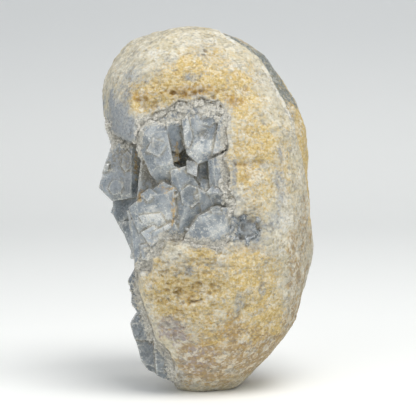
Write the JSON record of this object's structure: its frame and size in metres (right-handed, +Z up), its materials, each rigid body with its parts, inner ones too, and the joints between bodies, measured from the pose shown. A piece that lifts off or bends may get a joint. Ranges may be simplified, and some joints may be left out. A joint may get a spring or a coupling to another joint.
{
  "type": "celestite geode",
  "caption": "Egg-shaped limestone nodule broken open on one side, its hollow lined with blocky grey-blue celestite crystals; it stands upright on a small flat spot.",
  "frame": {"origin": "middle of the small flat spot under the lower end, on the surface the geode stands on", "axes": "+Z up along the nodule's length, -Y to the front with the chipped window, -X to the broken open side"},
  "size_m": [0.0796, 0.0839, 0.1345],
  "materials": {
    "limestone": "weathered, chalky and finely pitted, cream with ochre and grey patches",
    "celestite": "cloudy translucent grey-blue with a glassy lustre"
  },
  "bodies": {
    "root": {"limestone_rind": "limestone", "celestite_crust": "celestite"}
  },
  "joints": []
}
